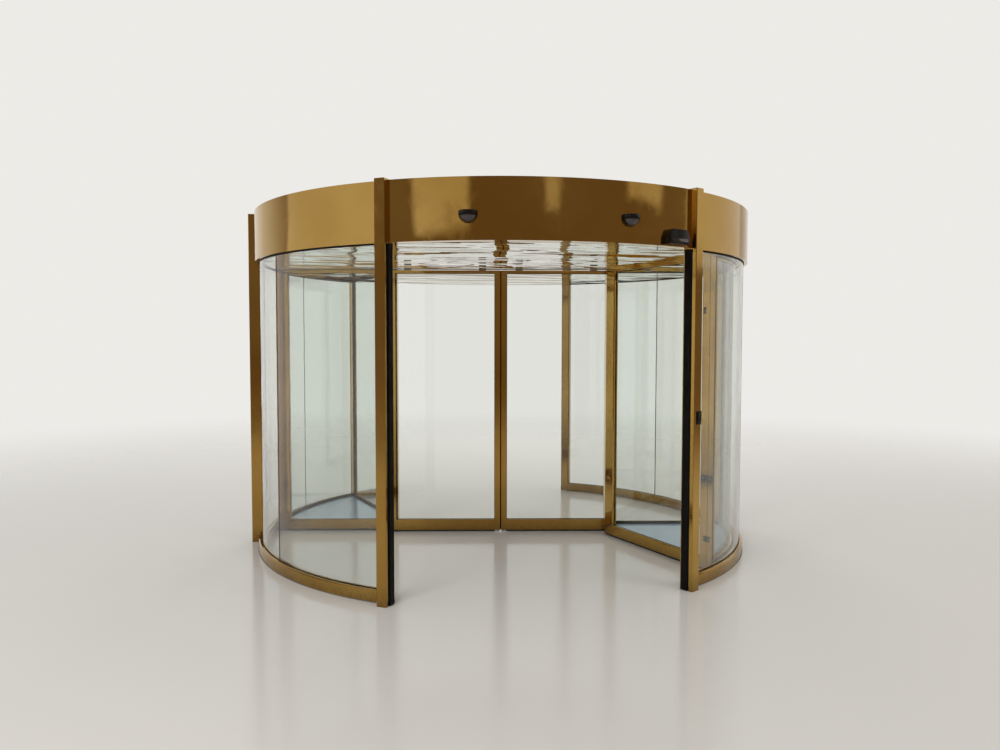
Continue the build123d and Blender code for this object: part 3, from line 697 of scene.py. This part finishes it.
# Wall jambs: gold-coated sections that close the building's wall against the drum,
# sealed to it with black silicone and held by low round-headed screws in their sides.
jamb_half, jamb_bead_lift, jamb_bead_gap, jamb_screw_x = 0.050, 0.0008, 0.001, 1.990
jamb_screw_heights, jamb_screw_radius, jamb_screw_proud = np.linspace(0.2, 2.4, 6), 0.0045, 0.0014
jamb_bead = np.array([(0.0, 0.0), (0.005, 0.0), (0.0045, 0.0008), (0.0, 0.003)])
dress(section_gold, "wall_jamb_")
jamb_beads, jamb_screws = [], []
for angle in (0.0, 180.0):
    for side in (-1, 1):
        for radius, low, high in (
            (glass_outer, rail_top + jamb_bead_gap, header_bottom - jamb_bead_gap),
            (side_fascia, header_bottom, fascia_top - jamb_bead_gap),
        ):
            x = math.sqrt((radius + jamb_bead_lift) ** 2 - jamb_half**2)
            plan = (jamb_bead + [x, jamb_half]) * [1, side]
            jamb_beads.append(turn_solid(upright(plan, low, high), angle))
        for height in jamb_screw_heights:
            head, axis = turned([(jamb_screw_x, side * jamb_half, height), (0.0, side, 0.0)], angle)
            jamb_screws.append(screw_head(head, axis, jamb_screw_radius, jamb_screw_proud))
make_piece("jamb_sealant", "drum", silicone, jamb_beads)
make_piece("jamb_screws", "drum", section_gold, jamb_screws)

# Sensors: black moulded cases on the doorway fascias. The two half domes have a parting
# ring and a smoked window below it, the low wide case has a long window.
sunk = 0.004
dome_radius, dome_top, skirt_height, dome_edge = 0.057, 2.372, 0.017, 0.004
dome_angles, wide_angle = (-14.45, 14.45), 24.6
wide_base, wide_side, wide_height, wide_proud, wide_edge = 2.212, 0.042, 0.092, 0.045, 0.005
wide_half, wide_top_half, wide_corner, wide_window_rise = 0.085, 0.062, 0.003, 0.023
window_proud, window_depth, window_spread, window_drop = 0.0007, 0.001, (-62, 62), (14, 66)
ring_band = [(0.0002, 0.001), (0.0011, 0.0006), (0.0011, -0.0008), (0.0002, -0.0012), (-0.002, -0.0001)]
wide_window_plate = (0.134, 0.024, 0.0012, 0.006, 0.0005)  # width, height, depth, corner, eased edge
wide_trim_plate = (0.150, 0.036, 0.0006, 0.009, 0.0003)
# Smoked acrylic: nearly black with a reddish depth, glossy under a light wiping haze.
smoked = two_toned(
    "smoked_acrylic_window", "", ("#12080A", "#1F1012"), (16.7,) * 3, 4.0, (0.04, 0.12),
    IOR=1.49, Coat_Weight=1.0, Coat_Roughness=0.02,
)


def half_dome():
    """Half rounds stacked downwards: an eased top edge, a straight skirt, then radius
    R cos t at R sin t below the skirt. Each one runs back into the fascia."""
    t = np.radians(np.linspace(0, 86, 22))
    inset, lowered = dome_edge * np.array([(1.0, 0.0), (0.3, 0.3), (0.0, 1.0)]).T
    radii = np.concatenate([dome_radius - inset, dome_radius * np.cos(t)])[:, None]
    drops = np.concatenate([lowered, skirt_height + dome_radius * np.sin(t)])[:, None]
    a = np.radians(np.linspace(-90, 90, 41))
    x = door_fascia + radii * np.concatenate([[0.0], np.cos(a), [0.0]])
    x[:, [0, -1]] = door_fascia - sunk
    y = radii * np.concatenate([[-1.0], np.sin(a), [1.0]])
    return tube(np.stack([x, y, np.broadcast_to(dome_top - drops, x.shape)], axis=-1))


def wide_case():
    """A six-sided outline, each corner cut a little, carried outwards from the fascia
    and drawn in towards its middle at the front edge."""
    corners = np.array([
        (-wide_half, 0.0), (wide_half, 0.0), (wide_half, wide_side),
        (wide_top_half, wide_height), (-wide_top_half, wide_height), (-wide_half, wide_side),
    ])
    ways = [np.roll(corners, neighbour, axis=0) - corners for neighbour in (1, -1)]
    cut = [corners + wide_corner * way / np.linalg.norm(way, axis=1, keepdims=True) for way in ways]
    outline = np.stack(cut, axis=1).reshape(-1, 2)
    away = outline - [0.0, wide_height / 2]
    away /= np.linalg.norm(away, axis=1, keepdims=True)
    steps = (
        (-sunk, 0.0), (wide_proud - wide_edge, 0.0),
        (wide_proud - 0.3 * wide_edge, 0.25 * wide_edge), (wide_proud, wide_edge),
    )
    rings = [
        np.column_stack([np.full(len(outline), door_fascia + out), outline - inset * away])
        for out, inset in steps
    ]
    return tube(np.stack(rings) + [0.0, 0.0, wide_base])


def dome_window():
    """A shell on the dome between two angles across and two below the skirt:
    x = R cos d cos s, y = R cos d sin s, z = -R sin d, outside and then inside."""
    across = np.radians(np.linspace(*window_spread, 25))
    down = np.radians(np.linspace(*window_drop, 13))[:, None]
    outer, inner = (
        np.stack([
            door_fascia + radius * np.cos(down) * np.cos(across),
            radius * np.cos(down) * np.sin(across),
            dome_top - skirt_height - radius * np.sin(down) * np.ones(len(across)),
        ], axis=-1)
        for radius in (dome_radius + window_proud, dome_radius - window_depth)
    )
    return tube(np.concatenate([outer, inner[:, ::-1]], axis=1))


points, faces = around_axis(np.add(ring_band, (dome_radius, dome_top - skirt_height)), -88.0, 88.0, 48)
parting_ring = (points + [door_fascia, 0.0, 0.0], faces)
wide_face = np.array([door_fascia + wide_proud, 0.0, wide_base + wide_window_rise])
dome_windows, dome_rings, wide_windows, wide_trims = [], [], [], []
for way, middle in (("room", -90.0), ("street", 90.0)):
    cases = [turn_solid(half_dome(), middle + offset) for offset in dome_angles]
    cases += [turn_solid(wide_case(), middle + wide_angle)]
    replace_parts(make_piece("sensor_cases_" + way, "drum", abs_black, cases), "sensors_" + way)
    dome_windows += [turn_solid(dome_window(), middle + offset) for offset in dome_angles]
    dome_rings += [turn_solid(parting_ring, middle + offset) for offset in dome_angles]
    for made, plate in ((wide_windows, wide_window_plate), (wide_trims, wide_trim_plate)):
        made.append(tube(turned(rounded_plate(*plate) + wide_face, middle + wide_angle)))
make_piece("dome_windows", "drum", smoked, dome_windows)
make_piece("dome_parting_rings", "drum", abs_black, dome_rings)
make_piece("wide_sensor_windows", "drum", smoked, wide_windows)
make_piece("wide_sensor_trims", "drum", abs_black, wide_trims)

# Rotor ceiling: two half discs of mirror-polished sheet that turn with the leaves. The
# thin sheet waves strongly, so what it mirrors breaks into long ripples.
rest_angle, ceiling_bottom, slot_half, rotor_radius = -8.0, 2.200, 0.016, 1.880
trim_reach, trim_end_gap = 0.03, 0.002
trim_profile = np.array([
    (0.0005, -0.0018), (0.011, -0.0018), (0.012, -0.0008), (0.012, 0.0), (-0.0008, 0.0), (-0.0008, -0.0008),
])
ripple_mm, ripple_angle, ripple_depth, film_mm = (476.2, 198.4, 476.2), math.radians(8), 0.034, 143
# Mirror sheet: a bright neutral reflection in ripples, with dull patches of hand film.
mirror, tree, metal, place = new_material("mirror_polished_ceiling_sheet", Metallic=1.0)
pulled = {"Vector": place, "Rotation": (0.0, 0.0, ripple_angle), "Scale": [1000 / mm for mm in ripple_mm]}
ripples = {"Vector": node(tree, "Mapping", pulled), "Scale": 1.0, "Detail": 1.5, "Roughness": 0.35}
wave = node(tree, "TexNoise", ripples)
film = node(tree, "TexNoise", {"Vector": place, "Scale": 1000 / film_mm, "Detail": 5.0})
rough_range = {"From Min": 0.4, "From Max": 0.8, "To Min": 0.015, "To Max": 0.09}
feed(
    metal,
    Base_Color=node(tree, "Mix", {0: film, 6: linear("#C4C1BA"), 7: linear("#DEDBD5")}, 2, data_type="RGBA"),
    Roughness=node(tree, "MapRange", {"Value": film, **rough_range}),
    Normal=node(tree, "Bump", {"Height": wave, "Strength": 1.0, "Distance": ripple_depth}),
)
dress(mirror, "rotor_ceiling")


def along_x(section, x0, x1):
    """A section of (y, z) points drawn out along x between two ends."""
    return tube(np.stack([np.column_stack([np.full(len(section), x), section]) for x in (x0, x1)]))


slot_trims = []
trim_end = math.sqrt(rotor_radius**2 - trim_reach**2) - trim_end_gap
for side in (-1, 1):
    section = (trim_profile + [slot_half, ceiling_bottom]) * [side, 1]
    slot_trims.append(turn_solid(along_x(section, -trim_end, trim_end), rest_angle))
make_piece("ceiling_slot_trims", "rotor", bright_steel, slot_trims)

# Showcases: glazed cases of gold-coated sections on the rotor. Black gaskets hold the
# panes, brushes close the gaps to floor and drum, and a lock sits in the inner post.
case_radius, case_front, case_inner_x, case_inner_y = 1.875, 0.030, -0.865, 0.120
case_corner_deg, corner_block, outer_post_length, frame_width = 140.1, 0.085, 0.115, 0.045
case_rail_top, head_rail_bottom, case_glass_near, case_glass_far = 0.090, 2.176, 0.0175, 0.0275
post_skew = 0.926  # sine of the angle at which the slanting side meets the circle
dress(section_gold, "showcase_posts_", "showcase_base_rails_", "showcase_head_rails_")
# Laminate: a pale board whose blue is painted reflection of the sky, finely flecked, with a satin sheen
# where it is less worn.
fleck_mm, wear_mm = 3.03, 333
laminate, tree, shader, place = new_material(
    "pale_blue_laminate", IOR=1.5, Coat_Weight=0.3, Coat_Roughness=0.1
)
fleck = node(tree, "TexNoise", {"Vector": place, "Scale": 1000 / fleck_mm, "Detail": 3.0})
wear = node(tree, "TexNoise", {"Vector": place, "Scale": 1000 / wear_mm, "Detail": 5.0})
# Both blue tones are painted reflection of the sky over the pale board.
tone = node(tree, "Mix", {0: fleck, 6: linear("#7F9DB6"), 7: linear("#97B3C9")}, 2, data_type="RGBA")
sheen = node(tree, "MapRange", {"Value": wear, "To Min": 0.12, "To Max": 0.3})
feed(shader, Base_Color=tone, Roughness=sheen)
dress(laminate, "showcase_floor_")

# The left-hand case as it stands before the rotor's turn: three plan lines, each with
# its start, its direction and the way into the case, and the drum-side circle.
inner_point = np.array([case_inner_x, case_inner_y])
corner_rad = math.radians(case_corner_deg)
to_corner = case_radius * np.array([math.cos(corner_rad), math.sin(corner_rad)]) - inner_point
slant_length = float(np.linalg.norm(to_corner))
slant = to_corner / slant_length
inward = np.array([-slant[1], slant[0]])
front_line = ((0.0, case_front), (1.0, 0.0), (0.0, 1.0))
slant_line = (inner_point, slant, inward)
slant_face = (inner_point, slant, -inward)
inner_line = ((case_inner_x, 0.0), (0.0, 1.0), (-1.0, 0.0))
front_left, front_right = corner_block - case_radius, case_inner_x - corner_block
slant_start, slant_end = corner_block / slant[1], slant_length - outer_post_length
arc_start = case_corner_deg + math.degrees(frame_width / (case_radius * post_skew))
arc_end = 180.0 - math.degrees(math.asin((corner_block + frame_width) / case_radius))


def mitred_frame(section, left, right, bottom, top, steps=1):
    """A section of (inset, depth) points carried round a rectangle and mitred at its
    corners, as (along, depth, height). The long sides are divided for bending."""
    run = np.linspace(0, 1, steps + 1)
    u = np.concatenate([left + (right - left) * run, right + (left - right) * run])[:, None]
    v = np.repeat([bottom, top], steps + 1)[:, None]
    du = np.zeros((2 * steps + 2, 1))
    du[[0, -1]], du[[steps, steps + 1]] = 1.0, -1.0
    dv = np.where(v == bottom, 1.0, -1.0)
    inset, depth = np.asarray(section, float).T
    return np.stack([u + du * inset, np.broadcast_to(depth, (len(u), len(depth))), v + dv * inset], axis=-1)


def on_line(points, start, direction, into):
    """Flat (along, depth, height) points laid on a plan line: start + along + depth into."""
    along, depth, height = np.moveaxis(np.asarray(points, float), -1, 0)
    x, y = (start[k] + along * direction[k] + depth * into[k] for k in (0, 1))
    return np.stack([x, y, height], axis=-1)


def plan_on(line, corners):
    """Corners (along, depth) laid on a plan line, as the (x, y) points of a plan."""
    return on_line(np.column_stack([corners, np.zeros(len(corners))]), *line)[:, :2]


def around_openings(section):
    """A section carried round the glazed openings of a case: the front, the slanting
    side and the bent side, where the angle is the length along it over the radius."""
    front = mitred_frame(section, front_left, front_right, case_rail_top, head_rail_bottom)
    side = mitred_frame(section, slant_start, slant_end, case_rail_top, head_rail_bottom)
    arc_length = math.radians(arc_end - arc_start) * case_radius
    along, depth, height = np.moveaxis(
        mitred_frame(section, 0.0, arc_length, case_rail_top, head_rail_bottom, 48), -1, 0
    )
    a = math.radians(arc_start) + along / case_radius
    bent = np.stack([(case_radius - depth) * np.cos(a), (case_radius - depth) * np.sin(a), height], axis=-1)
    loops = (on_line(front, *front_line), on_line(side, *slant_line), bent)
    return [tube(loop, closed=True) for loop in loops]


def both_cases(solids):
    """The solids of one case, and the same again half a turn round the rotor."""
    return [turn_solid(solid, rest_angle + turn) for turn in (0.0, 180.0) for solid in solids]


def round_plate(profile, along, height):
    """Rings of (radius, stand-out) points round a spot on the slanting face."""
    a = np.linspace(0, 2 * np.pi, 32, endpoint=False)
    r, out = np.array(profile).T[..., None]
    flat = [along + r * np.cos(a), np.broadcast_to(out, (len(out), len(a))), height + r * np.sin(a)]
    return tube(on_line(np.stack(flat, axis=-1), *slant_face))


# Glazing: a snap-on bead and a thin strip outside the glass, a wedge inside it, and
# black edging between the case's floor and the inner faces of its base rails.
close, back, bead_front = case_glass_near - 0.0002, case_glass_near - 0.002, case_glass_near - 0.0125
snap_bead = [(0.0, back), (0.008, back), (0.008, bead_front + 0.002), (0.006, bead_front), (0.0, bead_front)]
outer_strip = [(0.0, close), (0.009, close), (0.0094, (close + back) / 2), (0.009, back), (0.0, back)]
wedge = [
    (0.0, case_glass_far + 0.0002), (0.0085, case_glass_far + 0.0002), (0.0085, case_glass_far + 0.003),
    (0.004, frame_width), (0.0, frame_width),
]
edging_depths, edging_heights = (frame_width + 0.0001, frame_width + 0.002), (0.0782, 0.091)
case_gaskets_and_joint_shadow = around_openings(outer_strip) + around_openings(wedge)
for line, ends in ((front_line, (front_left, front_right)), (slant_line, (slant_start, slant_end))):
    case_gaskets_and_joint_shadow.append(upright(plan_on(line, rectangle(*ends, *edging_depths)), *edging_heights))
edging = rectangle(case_radius - edging_depths[0], case_radius - edging_depths[1], *edging_heights)
case_gaskets_and_joint_shadow.append(around_axis(edging, arc_start, arc_end, 48))
# A thin black strip over the joint in the outer corner post is painted shade: it stands for the shadow in
# the open gap there.
strip_middle, strip_half, strip_heights = slant_length - 0.045, 0.0015, (0.0185, 2.1995)
joint_shadow_strip = rectangle(strip_middle - strip_half, strip_middle + strip_half, -0.0001, 0.0005)
case_gaskets_and_joint_shadow.append(upright(plan_on(slant_face, joint_shadow_strip), *strip_heights))

# Brush under the base rails, in a slim holder close to the outer face of each rail.
brush_setback, needle_spacing, brush_length, brush_end, root_height = 0.005, 0.0016, 0.0125, 0.013, 0.0155
holder_section = rectangle(-0.0025, 0.0025, 0.0125, 0.018)
core_section = rectangle(-0.0012, 0.0012, 0.005, 0.0125)
case_brushes, brush_holders = [], []
for seed, line, first, last in (
    (21, front_line, brush_end - case_radius, case_inner_x - brush_end),
    (22, slant_line, brush_end, slant_length - brush_end),
    (23, inner_line, case_front + brush_end, case_inner_y - brush_end),
):
    t = np.arange(first, last, needle_spacing)
    roots = on_line(np.column_stack([t, np.full((len(t), 2), (brush_setback, root_height))]), *line)
    case_brushes.append(bristles(roots, (0.0, 0.0, -1.0), (*line[1], 0.0), brush_length, seed))
    for made, section in ((brush_holders, holder_section), (case_brushes, core_section)):
        points, faces = along_x(section + [brush_setback, 0.0], t[0], t[-1])
        made.append((on_line(points, *line), faces))
brush_arc_start = case_corner_deg + math.degrees(brush_end / case_radius)
brush_arc_end = 180.0 - math.degrees(math.asin((case_front + brush_end) / case_radius))
degrees = np.arange(brush_arc_start, brush_arc_end, math.degrees(needle_spacing / case_radius))
radius = case_radius - brush_setback
case_brushes.append(ring_bristles(degrees, radius, root_height, 0, -1, brush_length, 24))
for made, section in ((brush_holders, holder_section), (case_brushes, core_section)):
    made.append(around_axis(section + [radius, 0.0], brush_arc_start, brush_arc_end, 48))

# Upright brushes on the outer faces of the corner posts, towards the drum wall.
post_brush_angles = ((case_corner_deg + 0.45, 31), (arc_end + 1.6, 32))  # angle, seed
post_brush_bottom, post_brush_top, needle_rise, needle_length = 0.020, 2.198, 0.0028, 0.0105
holder_plan = rectangle(case_radius - 0.0002, case_radius + 0.0025, -0.003, 0.003)
holder = upright(holder_plan, post_brush_bottom, post_brush_top)
heights = np.arange(post_brush_bottom + 0.002, post_brush_top - 0.002, needle_rise)
roots = np.column_stack([np.full(len(heights), case_radius + 0.001), np.zeros(len(heights)), heights])
post_brushes = []
for angle, seed in post_brush_angles:
    fibres = bristles(roots, (1.0, 0.0, 0.0), (0.0, 0.0, 1.0), needle_length, seed)
    post_brushes += [turn_solid(fibres, angle), turn_solid(holder, angle)]

# Lock rosette in a dark ring on the slanting face of the inner post, and dark keep
# plates with two screws each on the outer corner post.
lock_along, lock_height = 0.055, 0.482
rosette = (
    (0.030, 0.0), (0.030, 0.003), (0.0285, 0.0045), (0.0225, 0.0045), (0.021, 0.003), (0.0135, 0.003),
    (0.0125, 0.006), (0.0105, 0.0068), (0.0065, 0.0068), (0.006, 0.0055), (0.003, 0.0055),
)
lock_ring = ((0.0335, 0.0), (0.0335, 0.0016), (0.0315, 0.0028), (0.0302, 0.0028), (0.0302, 0.0004))
keep_plates = (  # distance from the corner, height of the middle, width, height
    (0.055, 0.657, 0.092, 0.046), (0.050, 0.232, 0.056, 0.040), (0.094, 1.824, 0.022, 0.046),
)
plate_depth, plate_corner, plate_ease, screw_offset = 0.0035, 0.005, 0.0012, 0.36
plate_screw_radius, plate_screw_height = 0.0038, 0.0016
case_plates, plate_screws, screw_spots = [round_plate(lock_ring, lock_along, lock_height)], [], []
for from_corner, height, width, tall in keep_plates:
    centre = slant_length - from_corner
    out, across, up = np.moveaxis(rounded_plate(width, tall, plate_depth, plate_corner, plate_ease), -1, 0)
    case_plates.append(tube(on_line(np.stack([centre + across, out, height + up], axis=-1), *slant_face)))
    for shift in (-screw_offset * width, screw_offset * width):
        screw_spots.append(on_line((centre + shift, plate_depth, height), *slant_face))
for turn in (0.0, 180.0):
    axis = turned((*-inward, 0.0), rest_angle + turn)
    for spot in screw_spots:
        spot = turned(spot, rest_angle + turn)
        plate_screws.append(screw_head(spot, axis, plate_screw_radius, plate_screw_height))

make_piece("showcase_snap_beads", "rotor", section_gold, both_cases(around_openings(snap_bead)))
# The glazing gaskets and the black strip of painted shade in the corner post's joint.
make_piece("showcase_glazing_gaskets", "rotor", epdm, both_cases(case_gaskets_and_joint_shadow))
make_piece("showcase_floor_brushes", "rotor", fibre, both_cases(case_brushes))
make_piece("showcase_brush_holders", "rotor", abs_black, both_cases(brush_holders))
make_piece("showcase_post_brushes", "rotor", fibre, both_cases(post_brushes))
locks = both_cases([round_plate(rosette, lock_along, lock_height)])
make_piece("showcase_locks", "rotor", polished_gold, locks)
# Dark bronze: brown-black plates with a soft sheen, brushed level. The marks are drawn
# 0.7 mm apart, coarser than such brushing is, to show.
bronze = two_toned(
    "dark_bronze_plate", "", ("#2A2620", "#463F34"), (25.0, 25.0, 0.667), 2.0, (0.3, 0.5), Metallic=1.0
)
make_piece("showcase_keep_plates", "rotor", bronze, both_cases(case_plates))
make_piece("showcase_plate_screws", "rotor", bright_steel, plate_screws)

# Sliding leaves: slim gold-coated frames with a pane in black gaskets. Rubber seals
# meet in the middle, two brushes sweep the floor and a foot guides the leaf.
leaf_inner, leaf_outer, leaf_bottom, leaf_top, seal_end_gap = 0.003, 0.923, 0.018, 2.190, 0.002
leaf_opening = (0.051, 0.875, 0.106, 2.165)  # left, right, bottom, top
pane_half, bead_width, bead_depth, bead_tip = 0.005, 0.004, 0.0025, 0.0015
leaf_brush_rows, leaf_needle_spacing, leaf_needle_length = ((-0.0165, 41), (0.0165, 42)), 0.0018, 0.0115
sweep_start, sweep_end = leaf_inner + 0.044, leaf_outer - 0.010
seal_profile = np.array([
    (0.0002, 0.002), (0.0002, 0.012), (-0.0035, 0.011), (-0.0048, 0.007), (-0.0035, 0.003),
])
foot_plan = np.array([
    (0.004, -0.009), (0.036, -0.009), (0.040, -0.005), (0.040, 0.005), (0.036, 0.009), (0.004, 0.009),
])
foot_bottom, foot_ease = 0.004, 0.001
dress(section_gold, "leaf_frame_")
gaskets, sweeps, holders = [], [], []
for face in (-1, 1):
    bead = np.array([
        (0.0, pane_half), (0.0, pane_half + bead_width), (bead_depth * 0.4, pane_half + bead_width),
        (bead_depth, pane_half + bead_tip), (bead_depth, pane_half),
    ])
    gaskets.append(tube(mitred_frame(bead * [1, face], *leaf_opening), closed=True))
spots = np.arange(sweep_start + 0.001, sweep_end - 0.002, leaf_needle_spacing)
for row, seed in leaf_brush_rows:
    roots = np.column_stack([spots, np.full((len(spots), 2), (row, root_height))])
    sweeps.append(bristles(roots, (0.0, 0.0, -1.0), (1.0, 0.0, 0.0), leaf_needle_length, seed))
    for made, section in ((sweeps, core_section), (holders, holder_section)):
        made.append(along_x(section + [row, 0.0], sweep_start, sweep_end))
seal = upright(seal_profile + [leaf_inner, 0.0], leaf_bottom + seal_end_gap, leaf_top - seal_end_gap)
foot = upright(foot_plan + [leaf_inner, 0.0], foot_bottom, leaf_bottom, foot_ease)
for side, turn, body in (("right", 0.0, "right_leaf"), ("left", 180.0, "left_leaf")):
    for name, material, solids in (
        ("leaf_glazing_gaskets_", epdm, gaskets),
        ("leaf_meeting_seal_", epdm, [seal]),
        ("leaf_floor_brush_", fibre, sweeps),
        ("leaf_brush_holder_", abs_black, holders),
        ("leaf_guide_foot_", bright_steel, [foot]),
    ):
        make_piece(name + side, body, material, [turn_solid(solid, turn + rest_angle) for solid in solids])
